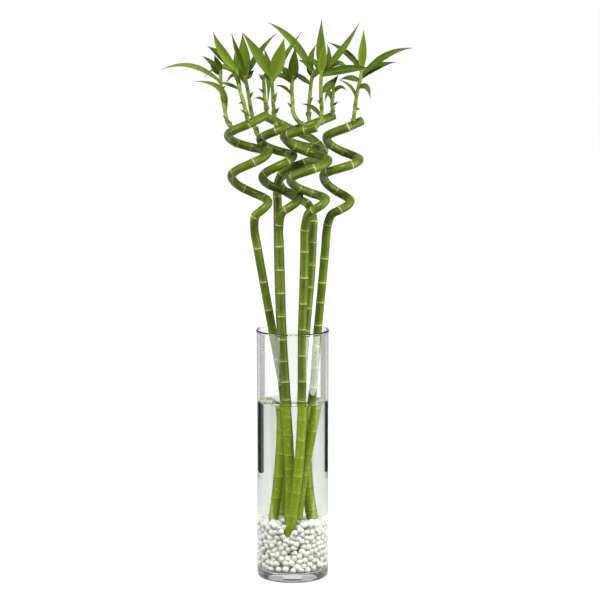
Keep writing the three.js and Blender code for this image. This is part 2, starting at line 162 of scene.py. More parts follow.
bpy.ops.object.select_all(action="DESELECT")
low = VASE_FLOOR - INTO_GLASS
bpy.ops.mesh.primitive_cylinder_add(vertices=ROUND_STEPS, radius=inner + INTO_GLASS,
                                    depth=WATER_LEVEL - low,
                                    location=(0, 0, (WATER_LEVEL + low) / 2))
water = bpy.context.object
water.name = "clear_water"
bpy.ops.object.transform_apply(location=True, rotation=False, scale=False)
edit_where(water, "faces", lambda c: c.z > WATER_LEVEL - NEAR)
bpy.ops.mesh.inset(thickness=MENISCUS_WIDTH / 3)
bpy.ops.mesh.inset(thickness=MENISCUS_WIDTH * 2 / 3)
bpy.ops.object.mode_set(mode="OBJECT")
for vertex in water.data.vertices:
    if vertex.co.z > WATER_LEVEL - NEAR:
        reach = max(0.0, (from_axis(vertex.co) - inner + MENISCUS_WIDTH) / MENISCUS_WIDTH)
        vertex.co.z += MENISCUS * min(1.0, reach) ** 2
rounded_edge(water, inner + INTO_GLASS, low, FLOOR_ROUND, 6)
ring_cut(water, low + FLOOR_ROUND + PAST_ROUNDING)
bpy.ops.object.shade_smooth_by_angle(angle=math.radians(35))

liquid, shader, add, link = material("still_water")
# The water's grey tint, much darker than clear water, is painted shade: it dims the canes, stones
# and floor seen through it.
shader.inputs["Base Color"].default_value = (0.870, 0.890, 0.850, 1)
shader.inputs["Roughness"].default_value = 0.0
shader.inputs["IOR"].default_value = 1.33
shader.inputs["Transmission Weight"].default_value = 1.0
water.data.materials.append(liquid)
water.visible_shadow = False
water.visible_diffuse = False
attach(water, "root")
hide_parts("water")

# ---------------------------------------------------------------------------------------------
# Pebbles. Small rounded stones, off-white, poured in round the canes. The bed lies highest
# along the glass and sinks to a hollow in front, where the foot of a cane shows.
# ---------------------------------------------------------------------------------------------
BED_SIDE = 0.086
BED_DIP = 18
PEBBLE = 0.0086
PEBBLE_ROUGH = 0.00035
CORE_RADIUS = 0.033
CORE_HEIGHT = 0.050
CORE_LIFT = 0.0005
OUTER_RING = (0.0400, 0.0416)
INNER_RING = 0.0355
TOP_REACH = 0.0360
UNDER_SURFACE = 0.0045
OVER_FLOOR = 0.0050
random.seed(11)


def bed_height(x, y):
    """The pebble bed's surface, by the formula of its solid, which is in millimetres."""
    u, v = x * 1000, y * 1000
    hollow = BED_DIP * math.exp(-(u + 4) ** 2 / 110 - (v + 36) ** 2 / 420)
    return BED_SIDE - (hollow + 2 * math.sin(u / 17 + v / 23)) / 1000


shapes = []
for number in range(5):
    bpy.ops.object.select_all(action="DESELECT")
    bpy.ops.mesh.primitive_ico_sphere_add(subdivisions=2, radius=PEBBLE / 2)
    shape = bpy.context.object
    bpy.ops.object.mode_set(mode="EDIT")
    bpy.ops.transform.vertex_random(offset=PEBBLE_ROUGH, uniform=0.3, normal=0.5, seed=number)
    bpy.ops.object.mode_set(mode="OBJECT")
    bpy.ops.object.shade_smooth()
    shapes.append(shape)

stones = []


def lay_stone(x, y, z):
    """Lays a turned copy of one of the stones with its middle at that place."""
    shape = random.choice(shapes)
    stone = bpy.data.objects.new("stone", shape.data.copy())
    turn = Euler([random.uniform(0, 2 * math.pi) for _ in range(3)]).to_matrix().to_4x4()
    grow = [random.uniform(0.85, 1.2) for _ in range(3)]
    stone.data.transform(Matrix.Translation((x, y, z)) @ turn @ Matrix.Diagonal((*grow, 1)))
    tint = stone.data.attributes.new("tint", "FLOAT", "POINT")
    shade = random.random()
    for value in tint.data:
        value.value = shade
    bpy.context.collection.objects.link(stone)
    stones.append(stone)


def scatter(tries, place_at, apart):
    """Lays stones at random places of place_at that keep apart from one another."""
    laid = []
    for _ in range(tries):
        spot = place_at()
        if all((spot - other).length > apart for other in laid):
            laid.append(spot)
            lay_stone(*spot)


def at_the_glass(reach):
    """A random place at that distance from the axis, anywhere up the side of the bed."""
    turn = random.uniform(0, 2 * math.pi)
    x, y = reach * math.cos(turn), reach * math.sin(turn)
    top = bed_height(x, y) - UNDER_SURFACE
    return Vector((x, y, random.uniform(VASE_FLOOR + OVER_FLOOR, top)))


def on_top():
    """A random place on the bed's surface."""
    turn = random.uniform(0, 2 * math.pi)
    reach = TOP_REACH * math.sqrt(random.random())
    x, y = reach * math.cos(turn), reach * math.sin(turn)
    return Vector((x, y, bed_height(x, y) - UNDER_SURFACE))


scatter(5000, lambda: at_the_glass(random.uniform(*OUTER_RING)), PEBBLE * 0.73)
scatter(4000, lambda: at_the_glass(INNER_RING), PEBBLE * 0.73)
scatter(1500, on_top, PEBBLE * 0.75)

bpy.ops.object.select_all(action="DESELECT")
bpy.ops.mesh.primitive_cylinder_add(vertices=32, radius=CORE_RADIUS, depth=CORE_HEIGHT,
                                    location=(0, 0, VASE_FLOOR + CORE_LIFT + CORE_HEIGHT / 2))
pebbles = bpy.context.object
pebbles.name = "pebble_bed"
bpy.ops.object.transform_apply(location=True, rotation=False, scale=False)
for stone in stones:
    stone.select_set(True)
bpy.ops.object.join()
bpy.ops.object.select_all(action="DESELECT")
for shape in shapes:
    shape.select_set(True)
bpy.ops.object.delete()
pebbles.data.materials.clear()

stone_white, shader, add, link = material("off_white_stone")
tint = add("ShaderNodeAttribute")
tint.attribute_name = "tint"
place = add("ShaderNodeTexCoord")
grain = add("ShaderNodeTexNoise")
grain.inputs["Scale"].default_value = 420
grain.inputs["Detail"].default_value = 4
link(place.outputs["Object"], grain.inputs["Vector"])
shades = add("ShaderNodeValToRGB")
shades.color_ramp.elements[0].color = (0.74, 0.75, 0.66, 1)
shades.color_ramp.elements[1].color = (0.86, 0.87, 0.80, 1)
link(tint.outputs["Fac"], shades.inputs["Fac"])
speckle = add("ShaderNodeMix")
speckle.data_type = "RGBA"
speckle.blend_type = "MULTIPLY"
speckle.inputs["Factor"].default_value = 0.1
link(shades.outputs["Color"], speckle.inputs[6])
link(grain.outputs["Color"], speckle.inputs[7])
link(speckle.outputs[2], shader.inputs["Base Color"])
bump = add("ShaderNodeBump")
bump.inputs["Strength"].default_value = 0.25
bump.inputs["Distance"].default_value = 0.0006
link(grain.outputs["Fac"], bump.inputs["Height"])
link(bump.outputs["Normal"], shader.inputs["Normal"])
shader.inputs["Roughness"].default_value = 0.55
pebbles.data.materials.append(stone_white)
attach(pebbles, "root")
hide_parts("pebbles")

# ---------------------------------------------------------------------------------------------
# Canes. Six lucky bamboo canes, cut at both ends, stuck in the pebbles and trained while they
# grew so that each curls up like a corkscrew above the vase. Thin tan rings mark their nodes.
# ---------------------------------------------------------------------------------------------
CANE_RADIUS = 0.0060
# Millimetres from here on. Every half turn swings out by CURL_DEPTH at most, and is lifted in
# its middle by LIFT_RIGHT or LIFT_LEFT.
LOW_HEIGHTS = (34, 140, 249, 347, 430)
LEAN_END = 12
LEAN_STEP = 25
CURL_DEPTH = 26
LIFT_RIGHT = 2
LIFT_LEFT = -6
# low is where the cane's middle stands at LOW_HEIGHTS: its cut foot, in the water, at the
# water's surface, at the rim and above it. turns are the outermost points of its curl,
# last is how much of the last half turn is left, and nodes lie that far along the cane.
CANES = {
    "a": dict(
        low=[(-30, -14), (-16, -10), (-12, -3), (-27.5, -6), (-42, -12)],
        last=0.8,
        turns=[(-54, -20, 501), (-33, -22, 529), (-83, -24, 564), (-33, -31, 598),
               (-87, -34, 620), (-32, -36, 655)],
        nodes=[24, 52, 82, 112, 144, 176, 208, 242, 278, 312, 348, 388, 436, 484, 526, 566,
               620, 653, 688, 723, 747, 784, 820]),
    "b": dict(
        low=[(-8, 26), (-6, 23), (-9.5, 25), (-16.5, 27), (-19.5, 29)],
        last=0.85,
        turns=[(-21, 36, 557), (44, 36, 594), (-12, 34, 614), (61, 30, 649)],
        nodes=[26, 56, 88, 120, 150, 180, 212, 244, 276, 308, 340, 372, 404, 437, 469, 497,
               538, 574, 612, 648, 684, 716, 748, 776]),
    "c": dict(
        low=[(-5, -15), (-3, -19), (-8, -21), (-14, -21), (-16.5, -20)],
        last=0.72,
        turns=[(-19, -18, 505), (9, -10, 534), (-41, -10, 561), (1, -7, 591),
               (-44, -3, 612), (2, 0, 640)],
        nodes=[24, 58, 92, 124, 144, 172, 197, 222, 247, 276, 306, 338, 370, 402, 434, 465,
               490, 525, 559, 592, 624, 658, 696, 735, 772, 790]),
    "d": dict(
        low=[(-9.5, -34), (5.5, -31), (12, -25), (13, -23), (15.5, -24.5)],
        last=0.56,
        turns=[(17, -27, 505), (45, -35, 534), (-3, -40, 561), (48, -42, 587),
               (-10, -42, 619), (61, -42, 645)],
        nodes=[28, 60, 93, 116, 142, 166, 195, 222, 249, 285, 321, 357, 393, 429, 459, 496,
               525, 553, 575, 620, 654, 692, 731, 753, 798, 820]),
    "e": dict(
        low=[(27, 3), (13.5, 10), (13, 18), (19, 23), (26, 36.5)],
        last=0.8,
        turns=[(29, 56, 509), (-19, 72, 548), (43, 76, 588), (-51, 78, 651)],
        nodes=[30, 62, 94, 126, 158, 190, 222, 252, 282, 312, 343, 372, 403, 435, 464, 500,
               536, 572, 608, 644, 680, 712, 742]),
    "f": dict(
        low=[(0, 5), (10, -5), (26.5, -4), (34.5, -2), (42, -5)],
        last=0.78,
        turns=[(48, -12, 503), (79, -13, 529), (42, -14, 564), (91, -16, 586),
               (46, -17, 616), (100, -18, 647)],
        nodes=[26, 54, 84, 114, 144, 176, 208, 238, 266, 296, 325, 357, 385, 419, 470, 501,
               557, 583, 615, 649, 680, 709, 733, 758, 798]),
}


def standing_at(knots, z):
    """The point at height z of a smooth line through the knots."""
    i = max(k for k in range(len(knots) - 1) if knots[k].z <= z)
    start, end = knots[i], knots[i + 1]
    before, after = knots[max(0, i - 1)], knots[min(len(knots) - 1, i + 2)]
    lean_in = (end - before) / (end.z - before.z)
    lean_out = (after - start) / (after.z - start.z)
    rise = end.z - start.z
    t = (z - start.z) / rise
    return (start * (2 * t ** 3 - 3 * t ** 2 + 1) + lean_in * rise * (t ** 3 - 2 * t ** 2 + t)
            + end * (3 * t ** 2 - 2 * t ** 3) + lean_out * rise * (t ** 3 - t ** 2))


def cane_points(cane):
    """The points, in millimetres, that a cane's centre line runs through."""
    turns = cane["turns"]
    knots = [Vector((x, y, z)) for (x, y), z in zip(cane["low"], LOW_HEIGHTS)] + [Vector(turns[0])]
    foot, high = LOW_HEIGHTS[0], turns[0][2] - LEAN_END
    steps = round((high - foot) / LEAN_STEP)
    points = [standing_at(knots, foot + (high - foot) * i / steps) for i in range(steps + 1)]
    for i in range(len(turns) - 1):
        (ax, ay, az), (bx, by, bz) = turns[i], turns[i + 1]
        half = (bx - ax) / 2
        deep = math.copysign(min(abs(half), CURL_DEPTH), half)
        ends = i + 2 == len(turns)
        stop = cane["last"] if ends else 1
        lift = 0 if ends else (LIFT_RIGHT if half > 0 else LIFT_LEFT)
        for u in [v for v in (0.25, 0.5, 0.75, 1) if v < stop - 0.1] + [stop]:
            points.append(Vector(((ax + bx) / 2 - half * math.cos(math.pi * u),
                                  ay + (by - ay) * u - deep * math.sin(math.pi * u),
                                  az + (bz - az) * u + lift * math.sin(math.pi * u))))
    return points


def smooth_line(points, fine):
    """A smooth line through the points, with fine steps between each two."""
    ends = [2 * points[0] - points[1]] + points + [2 * points[-1] - points[-2]]
    line = []
    for a, b, c, d in zip(ends, ends[1:], ends[2:], ends[3:]):
        for step in range(fine):
            t = step / fine
            line.append(0.5 * (2 * b + (c - a) * t + (2 * a - 5 * b + 4 * c - d) * t * t
                               + (3 * b - a - 3 * c + d) * t ** 3))
    return line + [points[-1].copy()]


def along(line):
    """How far along the line each of its points lies."""
    reach = [0.0]
    for a, b in zip(line, line[1:]):
        reach.append(reach[-1] + (b - a).length)
    return reach


def point_at(line, reach, s):
    """The point of the line at length s."""
    for i in range(1, len(line)):
        if reach[i] >= s:
            part = (s - reach[i - 1]) / max(1e-9, reach[i] - reach[i - 1])
            return line[i - 1].lerp(line[i], part)
    return line[-1].copy()


def rod(name, stations, radius, around):
    """A round rod with flat ends along stations of (point, share of the radius), in metres.

    A higher around gives it more sides.
    """
    path = bpy.data.curves.new(name, "CURVE")
    path.dimensions = "3D"
    path.bevel_depth = radius
    path.bevel_resolution = around
    spline = path.splines.new("POLY")
    spline.points.add(len(stations) - 1)
    for point, (co, share) in zip(spline.points, stations):
        point.co = (*co, 1)
        point.radius = share
    piece = bpy.data.objects.new(name, path)
    bpy.context.collection.objects.link(piece)
    only(piece)
    bpy.ops.object.convert(target="MESH")
    bpy.ops.object.mode_set(mode="EDIT")
    bpy.ops.mesh.select_all(action="SELECT")
    bpy.ops.mesh.fill_holes(sides=0)
    bpy.ops.object.mode_set(mode="OBJECT")
    return bpy.context.object


def mark(piece, name, values):
    """Keeps one number for each vertex of the piece, for its material."""
    kept = piece.data.attributes.new(name, "FLOAT", "POINT")
    kept.data.foreach_set("value", values)


def attribute(add, name):
    """Reads a number or vector kept in the mesh."""
    node = add("ShaderNodeAttribute")
    node.attribute_name = name
    return node


def mixed(add, link, factor, first, second, blend="MIX"):
    """A colour mix. Each input is a socket or a plain value."""
    node = add("ShaderNodeMix")
    node.data_type = "RGBA"
    node.blend_type = blend
    for number, given in ((0, factor), (6, first), (7, second)):
        socket = node.inputs[number]
        if isinstance(given, bpy.types.NodeSocket):
            link(given, socket)
        else:
            socket.default_value = given
    return node.outputs[2]


def ranged(add, link, value, low, high, to_low=0.0, to_high=1.0):
    """Takes a value from between low and high to between to_low and to_high."""
    node = add("ShaderNodeMapRange")
    node.inputs["From Min"].default_value = low
    node.inputs["From Max"].default_value = high
    node.inputs["To Min"].default_value = to_low
    node.inputs["To Max"].default_value = to_high
    link(value, node.inputs["Value"])
    return node.outputs["Result"]


def noise(add, link, vector, scale, detail=3.0, rough=0.5):
    """A noise pattern of that scale over the vector."""
    node = add("ShaderNodeTexNoise")
    node.inputs["Scale"].default_value = scale
    node.inputs["Detail"].default_value = detail
    node.inputs["Roughness"].default_value = rough
    link(vector, node.inputs["Vector"])
    return node.outputs["Fac"]


# The skin: waxy green with fine lengthwise streaks, a painted highlight that makes it paler
# towards the nodes, yellower in the water, and a thin tan scar round each node.
cane_skin, shader, add, link = material("waxy_green_cane")
place = add("ShaderNodeTexCoord").outputs["Object"]
patches = noise(add, link, place, 38)
streaks_at = attribute(add, "grain").outputs["Vector"]
stretch = add("ShaderNodeMapping")
stretch.inputs["Scale"].default_value = (1, 1, 0.04)
link(streaks_at, stretch.inputs["Vector"])
streaks = noise(add, link, stretch.outputs["Vector"], 900)
green = mixed(add, link, ranged(add, link, patches, 0.35, 0.65),
              (0.020, 0.042, 0.001, 1), (0.074, 0.120, 0.003, 1))
green = mixed(add, link, ranged(add, link, streaks, 0.3, 0.7, 0.0, 0.35), green,
              (0.13, 0.21, 0.010, 1))
# Painted highlight: the skin is painted paler next to each node and at the cut ends, in place of
# the light that falls there.
pale = attribute(add, "pale").outputs["Fac"]
green = mixed(add, link, pale, green, (0.19, 0.24, 0.025, 1))
height = add("ShaderNodeSeparateXYZ")
link(place, height.inputs[0])
wet = ranged(add, link, height.outputs["Z"], WATER_LEVEL + 0.004, WATER_LEVEL - 0.004)
green = mixed(add, link, wet, green, mixed(add, link, 0.6, green, (0.28, 0.38, 0.008, 1)))
# Bubbles on the canes under water: real air bubbles, painted as pale dots whose paleness is a
# painted reflection.
bubbles = ranged(add, link, noise(add, link, place, 520, 1.0), 0.68, 0.72, 0.0, 0.55)
bubbly = add("ShaderNodeMath")
bubbly.operation = "MULTIPLY"
link(wet, bubbly.inputs[0])
link(bubbles, bubbly.inputs[1])
green = mixed(add, link, bubbly.outputs[0], green, (0.75, 0.85, 0.50, 1))
scar = attribute(add, "scar").outputs["Fac"]
scar_noise = ranged(add, link, noise(add, link, place, 260), 0.35, 0.65, 0.55, 1.0)
scar_part = add("ShaderNodeMath")
scar_part.operation = "MULTIPLY"
link(scar, scar_part.inputs[0])
link(scar_noise, scar_part.inputs[1])
tan = mixed(add, link, ranged(add, link, patches, 0.4, 0.6), (0.46, 0.37, 0.20, 1),
            (0.66, 0.60, 0.38, 1))
tan = mixed(add, link, wet, tan, (0.15, 0.09, 0.02, 1))
link(mixed(add, link, scar_part.outputs[0], green, tan), shader.inputs["Base Color"])
link(ranged(add, link, scar, 0, 1, 0.32, 0.7), shader.inputs["Roughness"])
bump = add("ShaderNodeBump")
bump.inputs["Strength"].default_value = 0.15
bump.inputs["Distance"].default_value = 0.0003
link(streaks, bump.inputs["Height"])
link(bump.outputs["Normal"], shader.inputs["Normal"])
shader.inputs["Specular IOR Level"].default_value = 0.5
shader.inputs["Specular Tint"].default_value = (0.95, 1.0, 0.45, 1)
shader.inputs["IOR"].default_value = 1.38

cut_wood, shader, add, link = material("cut_cane_end")
place = add("ShaderNodeTexCoord").outputs["Object"]
pith = noise(add, link, place, 500)
link(mixed(add, link, pith, (0.16, 0.14, 0.05, 1), (0.42, 0.40, 0.22, 1)),
     shader.inputs["Base Color"])
shader.inputs["Roughness"].default_value = 0.75

# The rings round a node: how many metres past it, share of the radius, scar and paleness, which is
# a painted highlight.
NODE_RINGS = ((-0.0050, 1.0, 0.0, 0.15), (-0.0010, 1.030, 0.0, 0.5), (-0.0005, 1.050, 0.9, 0.6),
              (0.0001, 1.050, 1.0, 0.6), (0.0005, 1.005, 0.0, 0.7), (0.0080, 0.99, 0.0, 0.3))
RING_SPACING = 0.005

for key, cane in CANES.items():
    line = [p / 1000 for p in smooth_line(cane_points(cane), fine=14)]
    reach = along(line)
    length = reach[-1]
    marks = [(0.0, 1.0, 0.0, 0.4)]
    for node in cane["nodes"]:
        marks += [(node / 1000 + past, *rest) for past, *rest in NODE_RINGS]
    marks.append((length, 1.0, 0.0, 0.3))
    full = []
    for first, after in zip(marks, marks[1:]):
        parts = max(1, round((after[0] - first[0]) / RING_SPACING))
        for i in range(parts):
            share = i / parts
            full.append(tuple(a + (b - a) * share for a, b in zip(first, after)))
    full.append(marks[-1])
    stations = [(point_at(line, reach, s), share) for s, share, _, _ in full]
    piece = rod(f"curled_cane_{key}", stations, CANE_RADIUS, around=4)
    around = len(piece.data.vertices) // len(full)
    rings = [i // around for i in range(len(piece.data.vertices))]
    mark(piece, "scar", [full[i][2] for i in rings])
    # The paleness kept here is a painted highlight.
    mark(piece, "pale", [full[i][3] * 0.6 for i in rings])
    grain = piece.data.attributes.new("grain", "FLOAT_VECTOR", "POINT")
    for i, value in enumerate(grain.data):
        turn = 2 * math.pi * (i % around) / around
        value.vector = (CANE_RADIUS * math.cos(turn), CANE_RADIUS * math.sin(turn),
                        full[rings[i]][0])
    piece.data.materials.append(cane_skin)
    piece.data.materials.append(cut_wood)
    for face in piece.data.polygons:
        if len(face.vertices) > 4:
            face.material_index = 1
    bpy.ops.object.shade_smooth_by_angle(angle=math.radians(40))
    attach(piece, "root")
    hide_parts(f"cane_{key}")

# ---------------------------------------------------------------------------------------------
# Leafy shoots. Each grew from a bud on a cane's upper turn: a short jointed stem with dry
# sheaths at its nodes and long folded leaves whose bases clasp it one after another.
# ---------------------------------------------------------------------------------------------
LEAF_THICKNESS = 0.00045
# Millimetres from here on.
BRACT_WIDTH = 5
STEM_FOOT = 3.0
STEM_TOP = 2.4
STEM_JOINTS = 7
INTO_STEM = 0.9
INNER_LEAVES = 3
DRY_SCALES = 9
# One joint of a stem with the sheath at its top: how far up the joint, share of the radius
# and how dry.
STEM_JOINT = ((0.0, 1.0, 0.0), (0.5, 1.0, 0.0), (0.85, 1.0, 0.1), (0.95, 1.12, 0.4),
              (0.99, 1.08, 0.7))
# A leaf's share of its full width along its length.
LEAF_WIDTHS = ((0, 0.44), (0.08, 0.50), (0.20, 0.80), (0.35, 1.0), (0.50, 0.95), (0.65, 0.74),
               (0.80, 0.40), (0.92, 0.13), (1.0, 0.02))
# stem runs from the cane's middle up. A leaf leaves it at height at, and its tip
# lies to = (x, y, z) further. bend is how far its middle stands off the straight way there,
# sideways and up. roll turns its upper face from up (0) to the front (90). light is how young
# and pale it is, and thick is the stem's radius at its foot.
SHOOTS = {
    "a1": dict(stem=[(-77, -54, 629), (-87, -58, 640), (-91, -60, 659), (-94, -60, 675),
                     (-96, -58, 694), (-96, -56, 710)], leaves=[
        dict(at=692, to=(-80, -8, 18), bend=(0, 14), wide=7, roll=67, light=0.6),
        dict(at=656, to=(-42, -14, 40), bend=(13, 10), wide=8, roll=68, light=0.4),
        dict(at=708, to=(-26, 14, 22), bend=(0, 2), wide=7, roll=62),
        dict(at=709, to=(-8, -16, 26), bend=(-1, 2), wide=7, roll=68, light=0.5),
        dict(at=682, to=(6, -4, 8), wide=4, roll=50),
        dict(at=666, to=(7, -4, 8), wide=4, roll=50),
        dict(at=643, to=(-6, -4, 7), wide=5, roll=50)]),
    "a2": dict(stem=[(-59, -61, 637), (-61, -70, 649), (-65, -72, 667), (-70, -72, 683),
                     (-73, -71, 697), (-75, -69, 712)], leaves=[
        dict(at=709, to=(-40, 14, 32), bend=(0, 3), wide=13, roll=65),
        dict(at=710, to=(-31, -16, 53), bend=(-4, 0), wide=12, roll=68, light=0.7),
        dict(at=708, to=(-2, 18, 28), wide=7, roll=68),
        dict(at=683, to=(-20, -12, 9), bend=(2, 16), wide=7, roll=57),
        dict(at=684, to=(-31, 6, 10), bend=(0, 2), wide=5, roll=60),
        dict(at=663, to=(-9, -4, 3), bend=(0, 3), wide=4, roll=50),
        dict(at=651, to=(-9, -4, 7), wide=4, roll=50)]),
    "c1": dict(stem=[(-44, -4, 613), (-50, 4, 623), (-54, 6, 638), (-58, 2, 660), (-61, -2, 680),
                     (-65, -4, 699)], leaves=[
        dict(at=697, to=(-19, -12, 61), wide=8, roll=67),
        dict(at=697, to=(-4, 10, 60), wide=17, roll=83, light=0.3),
        dict(at=694, to=(43, 16, 62), bend=(-3, 3), wide=8, roll=57),
        dict(at=685, to=(-60, 10, 11), bend=(0, 20), wide=9, roll=52, light=0.4),
        dict(at=668, to=(7, -5, 9), wide=5, roll=50)]),
    "c2": dict(stem=[(-21, -25, 626), (-24, -33, 644), (-26, -33, 663), (-27, -31, 682),
                     (-28, -29, 699)], leaves=[
        dict(at=697, to=(-40, -12, 63), bend=(0, 2), wide=14, roll=68, light=0.5),
        dict(at=697, to=(-11, 14, 41), wide=8, roll=52),
        dict(at=696, to=(17, -14, 57), bend=(2, 0), wide=19, roll=85, light=0.8),
        dict(at=697, to=(41, 18, 64), bend=(-2, 0), wide=7, roll=57),
        dict(at=662, to=(6, -5, 18), bend=(-1, 0), wide=6, roll=68, light=0.6),
        dict(at=648, to=(8, -4, 10), wide=5, roll=50)]),
    "e1": dict(stem=[(-36, 95, 635), (-37, 99, 648), (-39, 103, 662), (-40, 105, 679),
                     (-41, 105, 695)], leaves=[
        dict(at=690, to=(6, -18, -36), bend=(4, 18), wide=8, roll=78),
        dict(at=656, to=(-16, -8, 6), bend=(0, 3), wide=5, roll=50),
        dict(at=668, to=(-9, -4, 9), wide=4, roll=50),
        dict(at=686, to=(-8, -2, 10), wide=5, roll=50)]),
    "b1": dict(stem=[(19, 6, 630), (9, -2, 636), (1, -4, 649), (0, -2, 666), (-1, 0, 682),
                     (1, 0, 699)], thick=3.4, leaves=[
        dict(at=692, to=(4, -10, 46), wide=14, roll=83, light=0.2),
        dict(at=687, to=(-26, 6, 8), bend=(0, 7), wide=9, roll=62),
        dict(at=696, to=(-19, 18, 18), wide=10, roll=62),
        dict(at=697, to=(9, 8, 16), wide=7, roll=62),
        dict(at=671, to=(-24, -6, 14), bend=(0, 5), wide=5, roll=50),
        dict(at=655, to=(-8, -4, 9), wide=4, roll=50)]),
    "b2": dict(stem=[(24, 6, 632), (22, 12, 645), (23, 14, 662), (25, 14, 684), (28, 12, 706)],
               leaves=[
        dict(at=703, to=(-61, -22, 69), bend=(2, 9), wide=11, roll=67, light=0.4),
        dict(at=699, to=(-21, -8, 22), bend=(4, 3), wide=9, roll=52),
        dict(at=700, to=(6, 15, 40), bend=(-5, 0), wide=9, roll=67),
        dict(at=686, to=(-30, 14, 20), wide=7, roll=62),
        dict(at=690, to=(5, -6, 14), wide=5, roll=50, light=0.3),
        dict(at=660, to=(6, -5, 9), wide=4, roll=50)]),
    "b3": dict(stem=[(52, 16, 642), (55, 10, 649), (54, 8, 661), (56, 8, 676), (56, 8, 690)],
               leaves=[
        dict(at=674, to=(19, -6, 5), bend=(0, 7), wide=6, roll=62),
        dict(at=662, to=(-11, -8, 1), bend=(0, 13), wide=7, roll=78, light=0.3),
        dict(at=657, to=(9, -4, 7), wide=4, roll=50),
        dict(at=688, to=(3, 5, 12), wide=5, roll=60)]),
    "d1": dict(stem=[(30, -67, 633), (37, -65, 641), (39, -67, 657), (38, -69, 677),
                     (38, -69, 697), (39, -69, 710)], leaves=[
        dict(at=707, to=(0, -8, 71), bend=(-1, 0), wide=12, roll=68, light=0.3),
        dict(at=705, to=(5, -18, 43), bend=(-1, 0), wide=12, roll=88, light=1.0),
        dict(at=707, to=(51, 4, 67), bend=(3, -2), wide=9, roll=62, light=0.3),
        dict(at=706, to=(8, 20, 40), bend=(6, -2), wide=8, roll=62),
        dict(at=703, to=(69, -16, 10), bend=(0, 4), wide=12, roll=67),
        dict(at=705, to=(38, 12, 6), bend=(2, 12), wide=9, roll=57, light=0.4),
        dict(at=681, to=(24, 8, 23), bend=(2, -1), wide=11, roll=68),
        dict(at=647, to=(-27, -6, 19), bend=(1, 4), wide=6, roll=67),
        dict(at=664, to=(-7, -4, 8), wide=4, roll=50)]),
    "f1": dict(stem=[(80, -42, 634), (82, -48, 642), (84, -50, 660), (87, -50, 680),
                     (91, -48, 697), (93, -46, 711)], leaves=[
        dict(at=708, to=(-46, -8, 39), bend=(2, 5), wide=8, roll=67),
        dict(at=708, to=(3, -10, 56), wide=11, roll=68, light=0.9),
        dict(at=700, to=(70, -14, 40), bend=(-1, 9), wide=9, roll=68, light=0.2),
        dict(at=697, to=(49, 14, 22), bend=(-2, 5), wide=10, roll=67),
        dict(at=684, to=(17, -10, -13), bend=(3, 9), wide=8, roll=68, light=0.3),
        dict(at=694, to=(-28, -10, 3), bend=(0, 3), wide=8, roll=67),
        dict(at=670, to=(-25, -10, 27), bend=(4, 4), wide=5, roll=50, light=0.3),
        dict(at=656, to=(8, -4, 1), wide=4, roll=50)]),
}


def leaf_colours(name, deep, young, vein):
    """A satin leaf skin with fine veins along the leaf and a paler midrib."""
    skin, shader, add, link = material(name)
    unroll = add("ShaderNodeUVMap")
    unroll.uv_map = "blade"
    stretch = add("ShaderNodeMapping")
    stretch.inputs["Scale"].default_value = (14, 1.2, 1)
    link(unroll.outputs["UV"], stretch.inputs["Vector"])
    veins = noise(add, link, stretch.outputs["Vector"], 1.0)
    place = add("ShaderNodeTexCoord").outputs["Object"]
    patches = noise(add, link, place, 40, 1.0)
    light = attribute(add, "light").outputs["Fac"]
    colour = mixed(add, link, light, deep, young)
    colour = mixed(add, link, ranged(add, link, patches, 0.3, 0.7, 0.0, 0.22), colour, young)
    colour = mixed(add, link, ranged(add, link, veins, 0.42, 0.62, 0.0, 0.28), colour, vein)
    split = add("ShaderNodeSeparateXYZ")
    link(unroll.outputs["UV"], split.inputs[0])
    off_middle = add("ShaderNodeMath")
    off_middle.operation = "SUBTRACT"
    off_middle.inputs[1].default_value = 0.5
    link(split.outputs["X"], off_middle.inputs[0])
    aside = add("ShaderNodeMath")
    aside.operation = "ABSOLUTE"
    link(off_middle.outputs[0], aside.inputs[0])
    midrib = ranged(add, link, aside.outputs[0], 0.06, 0.02, 0.0, 0.5)
    colour = mixed(add, link, midrib, colour, vein)
    dry = attribute(add, "dry").outputs["Fac"]
    colour = mixed(add, link, dry, colour, (0.28, 0.20, 0.09, 1))
    link(colour, shader.inputs["Base Color"])
    shader.inputs["Roughness"].default_value = 0.5
    shader.inputs["Specular IOR Level"].default_value = 0.18
    shader.inputs["Specular Tint"].default_value = (0.75, 1.0, 0.35, 1)
    bump = add("ShaderNodeBump")
    bump.inputs["Strength"].default_value = 0.08
    bump.inputs["Distance"].default_value = 0.0003
    link(veins, bump.inputs["Height"])
    link(bump.outputs["Normal"], shader.inputs["Normal"])
    return skin


leaf_top = leaf_colours("leaf_upper_face", (0.016, 0.044, 0.001, 1), (0.16, 0.24, 0.018, 1),
                        (0.11, 0.17, 0.018, 1))
leaf_under = leaf_colours("leaf_underside", (0.035, 0.078, 0.003, 1), (0.18, 0.27, 0.035, 1),
                          (0.15, 0.22, 0.03, 1))

stem_skin, shader, add, link = material("pale_green_stem")
place = add("ShaderNodeTexCoord").outputs["Object"]
patches = noise(add, link, place, 60, 1.0)
colour = mixed(add, link, ranged(add, link, patches, 0.35, 0.65), (0.060, 0.110, 0.006, 1),
               (0.19, 0.26, 0.045, 1))
scar = attribute(add, "scar").outputs["Fac"]
link(mixed(add, link, scar, colour, (0.27, 0.22, 0.09, 1)), shader.inputs["Base Color"])
shader.inputs["Roughness"].default_value = 0.45
shader.inputs["Specular IOR Level"].default_value = 0.25
shader.inputs["Specular Tint"].default_value = (0.80, 1.0, 0.35, 1)


def width_at(t):
    """A leaf's share of its full width at t of its length."""
    for (t0, w0), (t1, w1) in zip(LEAF_WIDTHS, LEAF_WIDTHS[1:]):
        if t <= t1:
            return w0 + (w1 - w0) * (t - t0) / (t1 - t0)
    return LEAF_WIDTHS[-1][1]


